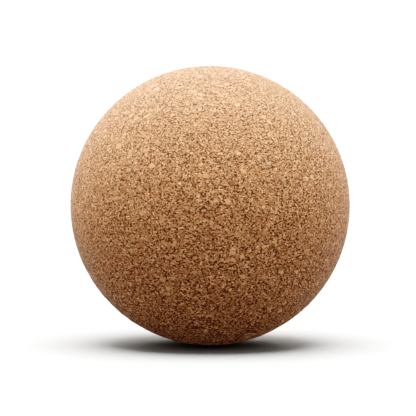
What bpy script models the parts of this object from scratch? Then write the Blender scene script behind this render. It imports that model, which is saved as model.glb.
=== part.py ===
"""Massage ball: one solid ball of agglomerated cork, turned from a block and sanded.

Metres, +Z up. The ball stands on the XY plane. The origin is the middle of the small
round flat that its own weight presses into the cork where it touches the ground.
"""

import math

import bmesh
import bpy

BALL_DIAMETER = 0.080
CORK_DENSITY = 300.0  # kg/m3, fine-grained composition cork
CORK_STIFFNESS = 20.0e6  # Pa, pressed at right angles to the surface
GRAVITY = 9.81

SEGMENTS_AROUND = 80
STEPS_TO_POLE = 40

CORK_COLOUR = (0.42, 0.22, 0.095, 1.0)
CORK_ROUGHNESS = 0.85

BALL_RADIUS = BALL_DIAMETER / 2
MERGE_DISTANCE = 1.0e-6


def clear_scene():
    for thing in list(bpy.data.objects):
        bpy.data.objects.remove(thing)


def contact_radius():
    """Radius of the patch that a ball of this weight flattens on a hard floor (Hertz)."""
    weight = CORK_DENSITY * 4 / 3 * math.pi * BALL_RADIUS**3 * GRAVITY
    return (3 * weight * BALL_RADIUS / (4 * CORK_STIFFNESS)) ** (1 / 3)


def half_outline(patch_radius):
    """Points from the middle of the flat patch, out to its rim and up the side to the top."""
    centre_height = math.sqrt(BALL_RADIUS**2 - patch_radius**2)
    points = [(0.0, 0.0, 0.0), (patch_radius, 0.0, 0.0)]
    for step in range(1, STEPS_TO_POLE):
        angle = math.pi * step / STEPS_TO_POLE
        out = BALL_RADIUS * math.sin(angle)
        up = centre_height - BALL_RADIUS * math.cos(angle)
        points.append((out, 0.0, up))
    points.append((0.0, 0.0, centre_height + BALL_RADIUS))
    return points


def turned_ball(patch_radius):
    """The half outline turned once about +Z, its ends closed on the axis."""
    shape = bmesh.new()
    points = [shape.verts.new(point) for point in half_outline(patch_radius)]
    edges = [shape.edges.new(pair) for pair in zip(points, points[1:])]
    bmesh.ops.spin(
        shape,
        geom=points + edges,
        cent=(0.0, 0.0, 0.0),
        axis=(0.0, 0.0, 1.0),
        angle=math.tau,
        steps=SEGMENTS_AROUND,
        use_duplicate=False,
    )
    bmesh.ops.remove_doubles(shape, verts=shape.verts, dist=MERGE_DISTANCE)
    bmesh.ops.recalc_face_normals(shape, faces=shape.faces)
    return shape


def cork_material():
    material = bpy.data.materials.new("cork")
    material.use_nodes = True
    surface = material.node_tree.nodes["Principled BSDF"]
    surface.inputs["Base Color"].default_value = CORK_COLOUR
    surface.inputs["Roughness"].default_value = CORK_ROUGHNESS
    surface.inputs["Metallic"].default_value = 0.0
    return material


def cork_ball():
    shape = turned_ball(contact_radius())
    mesh = bpy.data.meshes.new("cork_ball")
    shape.to_mesh(mesh)
    shape.free()
    mesh.shade_smooth()
    mesh.materials.append(cork_material())
    ball = bpy.data.objects.new("cork_ball", mesh)
    bpy.context.scene.collection.objects.link(ball)
    return ball


def main():
    clear_scene()
    cork_ball()


if __name__ == "__main__":
    main()
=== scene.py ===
"""Looks of the cork massage ball: pressed cork granules, sanded to a ball, on a pale floor."""

import math

import bmesh
import bpy
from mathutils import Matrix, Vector

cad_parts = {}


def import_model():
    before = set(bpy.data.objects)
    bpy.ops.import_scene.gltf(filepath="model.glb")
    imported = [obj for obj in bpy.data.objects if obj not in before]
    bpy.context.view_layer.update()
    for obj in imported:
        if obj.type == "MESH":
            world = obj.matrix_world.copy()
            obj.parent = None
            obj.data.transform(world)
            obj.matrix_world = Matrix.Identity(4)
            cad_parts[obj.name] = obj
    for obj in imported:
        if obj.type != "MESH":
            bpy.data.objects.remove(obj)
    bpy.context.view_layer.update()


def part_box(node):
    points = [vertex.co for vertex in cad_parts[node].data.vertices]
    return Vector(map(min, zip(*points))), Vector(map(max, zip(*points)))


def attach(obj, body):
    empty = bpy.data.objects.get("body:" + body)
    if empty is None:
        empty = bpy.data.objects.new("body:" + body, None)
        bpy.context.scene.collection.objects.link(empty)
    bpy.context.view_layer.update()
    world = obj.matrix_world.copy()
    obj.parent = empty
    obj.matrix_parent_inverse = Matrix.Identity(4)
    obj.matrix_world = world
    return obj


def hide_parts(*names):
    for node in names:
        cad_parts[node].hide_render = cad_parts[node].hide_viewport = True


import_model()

MM = 0.001

# The ball, as the CAD gives it
LOW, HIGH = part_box("cork_ball")
RADIUS = (HIGH.x - LOW.x) / 2
CENTRE = Vector((0.0, 0.0, HIGH.z - RADIUS))

# The skin that the relief is cut into
FACES_ALONG_SIDE = 128  # of each of the six sides that the skin is divided into
SKIN = 0.01 * MM  # how far it lies inside the nominal sphere

# The granules, from the largest: how wide they are, and the share of their cells that are one
CHIP = 1.5 * MM
CHIP_SHARE = 0.065
GRANULE = 0.50 * MM
GRANULE_SHARE = 0.505
GRAIN = 0.24 * MM  # everywhere else
PRESSED = (1.0, 1.0, 1.25)  # granules are this many times thinner along each axis
WOBBLE = 0.28 * MM  # how far the granules' outlines are bent to and fro
WOBBLE_WIDTH = 0.4 * MM
MOTTLE_WIDTH = 0.20 * MM

# The gaps and pits: hollows in the bump, darkened with painted shade in the colour. Their reach and blur
# are in millimetres
GAP_PATCH_WIDTH = 0.55 * MM
TIGHT = 0.47  # patches of noise below this have no gaps
LOOSE = 0.58  # patches above this have the widest
GAP_REACH = 0.10  # from a granule's edge, in the loosest patches
GAP_BLUR = 0.02
PIT_RIM = 0.69  # from a grain's middle, in grains' widths
PIT_FLOOR = 0.75

# Relief of the mesh. Depths, and how far granules stand proud, are in millimetres
CHIP_PROUD = 0.06
GRANULE_PROUD = 0.04
LEAST_DEPTH = CHIP_PROUD  # so that the highest chips come about level with the skin
UNEVEN_DEPTH = 0.09
UNEVEN_WIDTH = 1.2 * MM

# Relief of the bump, in millimetres
FACE_RIM = 0.05  # how far in from its edge a granule's face starts
FACE_HEIGHT = 0.05  # of the lowest faces; the highest have twice that
FACE_SLOPE = 1.5
DOME_RIM = 0.22
DOME_HEIGHT = 0.10
MOTTLE_HEIGHT = 0.15
GAP_DEPTH = 0.14

# Colours of the cork, and the painted shade of its gaps and pits, as linear red, green and blue
DARK_CORK = (0.27, 0.120, 0.056)
BROWN_CORK = (0.42, 0.190, 0.088)
TAN_CORK = (0.53, 0.237, 0.111)
PALE_CORK = (0.84, 0.400, 0.205)
RED_CORK = (0.42, 0.125, 0.058)
GREY_CORK = (0.26, 0.165, 0.095)
# painted shade for the hollows of the gaps and pits, not a colour of the cork
GAP_SHADE = (0.052, 0.029, 0.019)

# How strongly they show
MOTTLE_CONTRAST = 1.8
CHIP_LEAST_TONE = 0.2  # chips keep to the middle tones
CHIP_TONE_RANGE = 0.35
MOST_RED = 0.75
MOST_RED_ON_CHIP = 0.2
MOST_GREY = 0.6
# how far the painted shade darkens the gaps and pits
MOST_GAP_SHADE = 0.92

# The cork's roughness and gloss
SMOOTHEST = 0.55
ROUGHEST = 0.72
GLOSS = 0.06

# The camera's tone curve: a light x shows as exp(SHOULDER - TOE / sqrt(x)), so WHITE shows as 1
TOE = 1.022
SHOULDER = 0.7
WHITE = (TOE / SHOULDER) ** 2
CURVE_STEPS = 16

# The camera, in front of the ball and a little above it
CAMERA_DISTANCE = 1.5
CAMERA_ELEVATION = math.radians(4.3)
BALL_IN_VIEW = 0.6731  # the ball's width as a share of the picture's
AIM = CENTRE + Vector((-0.61 * MM, 0.0, -0.69 * MM))
SENSOR_WIDTH = 36.0

# The studio's light: a dome, brighter behind the ball, with a broad light overhead
DOME = 2.4
DOME_TO_BACK = 0.6
DOME_TINT = (1.02, 0.99, 0.945)
OVERHEAD = 19.0
OVERHEAD_EDGE = 0.66  # cosine of the angle from its middle at which it has faded out
OVERHEAD_LEAN = math.radians(20)  # to the back
FILL = 0.48  # from below, in front
FILL_TINT = (0.80, 1.10, 1.6)
FILL_TOP = 0.05  # upward parts of a direction between which the dome gives way to the fill
FILL_BOTTOM = -0.5

# The floor, and the light that falls on nothing else
FLOOR_RADIUS = 6.0
FLOOR_GREY = 0.12
FLOOR_LIGHT = 38.0
FLOOR_LIGHT_SPREAD = math.radians(46)
FLOOR_LIGHT_LEAN = math.radians(5)  # towards the camera


def opaque(colour):
    return (*colour, 1.0)


class Graph:
    """A node tree, for shading or for geometry, with short ways to add and link nodes."""

    def __init__(self, tree):
        self.tree = tree

    def feed(self, socket, value):
        if isinstance(value, bpy.types.NodeSocket):
            self.tree.links.new(value, socket)
        else:
            socket.default_value = value

    def add(self, kind, inputs=None, **settings):
        node = self.tree.nodes.new(kind)
        for name, value in settings.items():
            setattr(node, name, value)
        for name, value in (inputs or {}).items():
            self.feed(node.inputs[name], value)
        return node

    def maths(self, operation, *values):
        return self.add("ShaderNodeMath", dict(enumerate(values)), operation=operation).outputs[0]

    def vector(self, operation, *values):
        return self.add("ShaderNodeVectorMath", dict(enumerate(values)), operation=operation).outputs[0]

    def dot(self, one, other):
        node = self.add("ShaderNodeVectorMath", {0: one, 1: other}, operation="DOT_PRODUCT")
        return node.outputs["Value"]

    def scaled(self, vector, factor):
        node = self.add("ShaderNodeVectorMath", {"Vector": vector, "Scale": factor}, operation="SCALE")
        return node.outputs[0]

    def split(self, vector):
        return self.add("ShaderNodeSeparateXYZ", {0: vector}).outputs

    def centred(self, colour):
        """A colour with channels from 0 to 1, as a vector with parts from -0.5 to 0.5."""
        return self.vector("SUBTRACT", colour, (0.5, 0.5, 0.5))

    def spread(self, value, low, high, to_low=0.0, to_high=1.0):
        """value's range low to high eased onto to_low to to_high."""
        inputs = {"Value": value, "From Min": low, "From Max": high, "To Min": to_low, "To Max": to_high}
        return self.add("ShaderNodeMapRange", inputs, interpolation_type="SMOOTHSTEP").outputs[0]

    def below(self, value, limit):
        """1 where value is below limit and 0 where it is above, with a soft step between."""
        return self.spread(value, limit - 0.005, limit + 0.005, 1.0, 0.0)

    def between(self, share, one, other):
        return self.add("ShaderNodeMix", {0: share, 2: one, 3: other}).outputs[0]

    def mix(self, share, one, other):
        node = self.add("ShaderNodeMix", data_type="RGBA")
        for socket, value in ((0, share), (6, one), (7, other)):
            self.feed(node.inputs[socket], value)
        return node.outputs[2]

    def ramp(self, value, stops):
        node = self.add("ShaderNodeValToRGB", {"Fac": value})
        elements = node.color_ramp.elements
        for place, _ in stops[2:]:
            elements.new(place)
        for element, (place, colour) in zip(elements, stops):
            element.position = place
            element.color = opaque(colour)
        return node.outputs["Color"]

    def noise(self, place, width, detail=2.0, roughness=0.5):
        inputs = {"Vector": place, "Scale": 1 / width, "Detail": detail, "Roughness": roughness}
        return self.add("ShaderNodeTexNoise", inputs)

    def cells(self, place, width, feature="F1"):
        return self.add("ShaderNodeTexVoronoi", {"Vector": place, "Scale": 1 / width}, feature=feature)


def granule_layer(nodes, place, width):
    """Granules of one width: what each draws at random, and where in its granule a point lies."""
    cells = nodes.cells(place, width)
    edge = nodes.cells(place, width, "DISTANCE_TO_EDGE").outputs["Distance"]
    draw = cells.outputs["Color"]
    kind, tone, tint = nodes.split(draw)
    slope = nodes.dot(nodes.centred(draw), nodes.vector("SUBTRACT", place, cells.outputs["Position"]))
    return {
        "kind": kind,
        "tone": tone,
        "tint": tint,
        "edge": nodes.maths("MULTIPLY", edge, width / MM),
        "slope": nodes.maths("MULTIPLY", slope, 1 / MM),
        "from_middle": cells.outputs["Distance"],
    }


def gaps(nodes, place, edge):
    """Gaps along the granules' edges, in the patches where the cork is loosest: sunk in the bump, and
    given painted shade in the colour.
    """
    patch = nodes.noise(place, GAP_PATCH_WIDTH, 1.0, 0.6).outputs["Fac"]
    reach = nodes.spread(patch, TIGHT, LOOSE, -GAP_BLUR, GAP_REACH)
    return nodes.spread(nodes.maths("SUBTRACT", reach, edge), 0.0, GAP_BLUR)


def pits(nodes, grain, is_larger):
    """Pinholes where the corners of the finest grains meet, sunk in the bump and given painted shade in
    the colour.
    """
    fine = nodes.maths("SUBTRACT", 1.0, is_larger)
    return nodes.maths("MULTIPLY", nodes.spread(grain["from_middle"], PIT_RIM, PIT_FLOOR), fine)


def cork_pattern(nodes, outward):
    """The granules that a sphere cuts through: one pattern for the relief, bump and colour."""
    place = nodes.vector("MULTIPLY", nodes.scaled(outward, RADIUS), PRESSED)
    wobble = nodes.scaled(nodes.centred(nodes.noise(place, WOBBLE_WIDTH).outputs["Color"]), WOBBLE)
    bent = nodes.vector("ADD", place, wobble)
    chip, granule, grain = [granule_layer(nodes, bent, width) for width in (CHIP, GRANULE, GRAIN)]
    is_chip = nodes.below(chip["kind"], CHIP_SHARE)
    is_granule = nodes.below(granule["kind"], GRANULE_SHARE)

    def largest(key):
        """What the largest granule at each point has."""
        return nodes.between(is_chip, nodes.between(is_granule, grain[key], granule[key]), chip[key])

    edge = largest("edge")
    tone_range = nodes.spread(is_chip, 0.0, 1.0, 1.0, CHIP_TONE_RANGE)
    least_tone = nodes.spread(is_chip, 0.0, 1.0, 0.0, CHIP_LEAST_TONE)
    is_larger = nodes.maths("MAXIMUM", is_chip, is_granule)
    return {
        "place": place,
        "chip": is_chip,
        "granule": is_granule,
        "tone": nodes.maths("MULTIPLY_ADD", largest("tone"), tone_range, least_tone),
        "tint": largest("tint"),
        "slope": largest("slope"),
        "face": nodes.spread(edge, 0.0, FACE_RIM),
        "dome": nodes.spread(edge, 0.0, DOME_RIM),
        "gap": nodes.maths("MAXIMUM", gaps(nodes, place, edge), pits(nodes, grain, is_larger)),
    }


def relief_depth(nodes, cork):
    """Depth below the skin, in millimetres, of what the mesh is fine enough to hold."""
    proud = nodes.maths("MULTIPLY", cork["granule"], GRANULE_PROUD)
    proud = nodes.maths("MULTIPLY_ADD", cork["chip"], CHIP_PROUD, proud)
    proud = nodes.maths("MULTIPLY", proud, cork["face"])
    uneven = nodes.noise(cork["place"], UNEVEN_WIDTH, 1.0).outputs["Fac"]
    return nodes.maths("SUBTRACT", nodes.maths("MULTIPLY_ADD", uneven, UNEVEN_DEPTH, LEAST_DEPTH), proud)


def bump_height(nodes, cork, mottle):
    """Height, in millimetres, of what only the shading shows."""
    face = nodes.maths("MULTIPLY_ADD", cork["tint"], FACE_HEIGHT, FACE_HEIGHT)
    face = nodes.maths("MULTIPLY_ADD", cork["slope"], FACE_SLOPE, face)
    height = nodes.maths("MULTIPLY", cork["face"], face)
    height = nodes.maths("MULTIPLY_ADD", mottle, MOTTLE_HEIGHT, height)
    height = nodes.maths("MULTIPLY_ADD", cork["dome"], DOME_HEIGHT, height)
    return nodes.maths("MULTIPLY_ADD", cork["gap"], -GAP_DEPTH, height)


def cork_colour(nodes, cork, mottle):
    """Mostly tan granules, some of them pale, reddish or grey, with painted shade in the gaps and pits
    between.
    """
    shift = nodes.maths("MULTIPLY", nodes.maths("SUBTRACT", mottle, 0.5), MOTTLE_CONTRAST)
    tone = nodes.maths("ADD", cork["tone"], shift)
    colour = nodes.ramp(tone, [(0.0, DARK_CORK), (0.35, BROWN_CORK), (0.65, TAN_CORK), (1.0, PALE_CORK)])
    most_red = nodes.spread(cork["chip"], 0.0, 1.0, MOST_RED, MOST_RED_ON_CHIP)
    red = nodes.maths("MULTIPLY", nodes.spread(cork["tint"], 0.68, 0.96), most_red)
    colour = nodes.mix(red, colour, opaque(RED_CORK))
    grey = nodes.maths("MULTIPLY", nodes.spread(cork["tint"], 0.15, 0.05), MOST_GREY)
    colour = nodes.mix(grey, colour, opaque(GREY_CORK))
    # painted shade in the gaps and pits
    return nodes.mix(nodes.maths("MULTIPLY", cork["gap"], MOST_GAP_SHADE), colour, opaque(GAP_SHADE))


def cork_material():
    material = bpy.data.materials.new("cork_granules")
    material.use_nodes = True
    nodes = Graph(material.node_tree)
    local = nodes.add("ShaderNodeTexCoord").outputs["Object"]
    outward = nodes.vector("NORMALIZE", nodes.vector("SUBTRACT", local, tuple(CENTRE)))
    cork = cork_pattern(nodes, outward)
    mottle = nodes.noise(cork["place"], MOTTLE_WIDTH, 2.0, 0.6).outputs["Fac"]
    height = bump_height(nodes, cork, mottle)
    bump = nodes.add("ShaderNodeBump", {"Strength": 1.0, "Distance": MM, "Height": height})
    surface = nodes.tree.nodes["Principled BSDF"]
    nodes.feed(surface.inputs["Base Color"], cork_colour(nodes, cork, mottle))
    nodes.feed(surface.inputs["Roughness"], nodes.spread(mottle, 0.2, 0.8, SMOOTHEST, ROUGHEST))
    nodes.feed(surface.inputs["Normal"], bump.outputs[0])
    surface.inputs["Specular IOR Level"].default_value = GLOSS
    return material


def sphere_skin():
    """A sphere of six squarish sides, evenly divided, so that no face is a sliver."""
    shape = bmesh.new()
    bmesh.ops.create_cube(shape, size=2.0)
    bmesh.ops.subdivide_edges(shape, edges=shape.edges, cuts=FACES_ALONG_SIDE - 1, use_grid_fill=True)
    for vert in shape.verts:
        even = Vector([math.tan(side * math.pi / 4) for side in vert.co])
        vert.co = CENTRE + even.normalized() * (RADIUS - SKIN)
    mesh = bpy.data.meshes.new("granulated_cork")
    shape.to_mesh(mesh)
    shape.free()
    mesh.shade_smooth()
    ball = bpy.data.objects.new("granulated_cork", mesh)
    bpy.context.scene.collection.objects.link(ball)
    return ball


def relief_group():
    """Geometry nodes that push each point of the skin inwards by its depth."""
    tree = bpy.data.node_groups.new("cork_relief", "GeometryNodeTree")
    tree.interface.new_socket("Geometry", in_out="INPUT", socket_type="NodeSocketGeometry")
    tree.interface.new_socket("Geometry", in_out="OUTPUT", socket_type="NodeSocketGeometry")
    nodes = Graph(tree)
    place = nodes.add("GeometryNodeInputPosition").outputs[0]
    outward = nodes.vector("NORMALIZE", nodes.vector("SUBTRACT", place, tuple(CENTRE)))
    depth = relief_depth(nodes, cork_pattern(nodes, outward))
    inward = nodes.scaled(outward, nodes.maths("MULTIPLY", depth, -MM))
    skin = nodes.add("NodeGroupInput").outputs[0]
    moved = nodes.add("GeometryNodeSetPosition", {"Geometry": skin, "Offset": inward})
    nodes.add("NodeGroupOutput", {0: moved.outputs[0]})
    return tree


def sink_hollows(ball):
    """Cuts the relief into the ball's mesh, and keeps it on or above the floor."""
    modifier = ball.modifiers.new("cork_relief", "NODES")
    modifier.node_group = relief_group()
    graph = bpy.context.evaluated_depsgraph_get()
    shaped = bpy.data.meshes.new_from_object(ball.evaluated_get(graph))
    ball.modifiers.clear()
    ball.data = shaped
    for vert in shaped.vertices:
        vert.co.z = max(vert.co.z, LOW.z)


def film():
    """The tone curve that the render is shown with, set in the scene's view settings."""
    view = bpy.context.scene.view_settings
    view.view_transform = "Standard"
    view.use_curve_mapping = True
    mapping = view.curve_mapping
    mapping.white_level = (WHITE, WHITE, WHITE)
    curve = mapping.curves[3]  # the one for all three colours together
    for step in range(1, CURVE_STEPS):
        share = (step / CURVE_STEPS) ** 2
        curve.points.new(share, math.exp(SHOULDER - TOE / math.sqrt(share * WHITE)))
    mapping.update()


def camera():
    offset = Vector((0.0, -math.cos(CAMERA_ELEVATION), math.sin(CAMERA_ELEVATION))) * CAMERA_DISTANCE
    view_width = 2 * RADIUS / BALL_IN_VIEW
    data = bpy.data.cameras.new("camera")
    data.sensor_width = SENSOR_WIDTH
    data.lens = SENSOR_WIDTH * CAMERA_DISTANCE / view_width
    data.clip_start = 0.01
    eye = bpy.data.objects.new("camera", data)
    eye.location = AIM + offset
    eye.rotation_euler = (-offset).to_track_quat("-Z", "Y").to_euler()
    bpy.context.scene.collection.objects.link(eye)
    bpy.context.scene.camera = eye


def dome_light(nodes):
    """The light that reaches the ball from each direction."""
    way = nodes.add("ShaderNodeTexCoord").outputs["Generated"]
    _, back, up = nodes.split(way)
    overhead = nodes.dot(way, (0.0, math.sin(OVERHEAD_LEAN), math.cos(OVERHEAD_LEAN)))
    dome = nodes.maths("MULTIPLY_ADD", back, DOME_TO_BACK, DOME)
    dome = nodes.maths("ADD", dome, nodes.spread(overhead, OVERHEAD_EDGE, 1.0, 0.0, OVERHEAD))
    fill = nodes.spread(back, 0.3, -1.0, 0.0, FILL)
    strength = nodes.between(nodes.spread(up, FILL_BOTTOM, FILL_TOP), fill, dome)
    tint = nodes.mix(nodes.spread(up, -0.4, 0.1), opaque(FILL_TINT), opaque(DOME_TINT))
    return nodes.add("ShaderNodeBackground", {"Color": tint, "Strength": strength})


def world():
    """Soft studio light for the ball, and plain white for the camera to see behind it."""
    studio = bpy.data.worlds.new("studio")
    bpy.context.scene.world = studio
    studio.use_nodes = True
    studio.node_tree.nodes.clear()
    nodes = Graph(studio.node_tree)
    seen = nodes.add("ShaderNodeBackground", {"Color": (1.0, 1.0, 1.0, 1.0), "Strength": 2 * WHITE})
    lit = dome_light(nodes)
    camera_ray = nodes.add("ShaderNodeLightPath").outputs["Is Camera Ray"]
    mix = nodes.add("ShaderNodeMixShader", {0: camera_ray, 1: lit.outputs[0], 2: seen.outputs[0]})
    nodes.add("ShaderNodeOutputWorld", {"Surface": mix.outputs[0]})


def floor():
    place = (0.0, 0.0, LOW.z)
    bpy.ops.mesh.primitive_circle_add(vertices=96, radius=FLOOR_RADIUS, fill_type="NGON", location=place)
    plane = bpy.context.object
    plane.name = "floor"
    material = bpy.data.materials.new("pale_floor")
    material.use_nodes = True
    surface = material.node_tree.nodes["Principled BSDF"]
    surface.inputs["Base Color"].default_value = (FLOOR_GREY, FLOOR_GREY, FLOOR_GREY, 1.0)
    surface.inputs["Roughness"].default_value = 0.9
    surface.inputs["Specular IOR Level"].default_value = 0.0
    plane.data.materials.append(material)
    plane.visible_diffuse = False  # its bright light doesn't bounce onto the ball: FILL stands in
    return plane


def floor_light(plane):
    """A broad even light from above that falls on the floor only, for the ball's soft shadow."""
    data = bpy.data.lights.new("floor_light", "SUN")
    data.energy = FLOOR_LIGHT
    data.angle = FLOOR_LIGHT_SPREAD
    lamp = bpy.data.objects.new("floor_light", data)
    lamp.location = (0.0, 0.0, 1.0)
    lamp.rotation_euler.x = FLOOR_LIGHT_LEAN
    bpy.context.scene.collection.objects.link(lamp)
    lit = bpy.data.collections.new("lit_by_floor_light")
    lit.objects.link(plane)
    lamp.light_linking.receiver_collection = lit


film()
camera()
world()
floor_light(floor())
ball = sphere_skin()
sink_hollows(ball)
ball.data.materials.append(cork_material())
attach(ball, "root")
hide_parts("cork_ball")
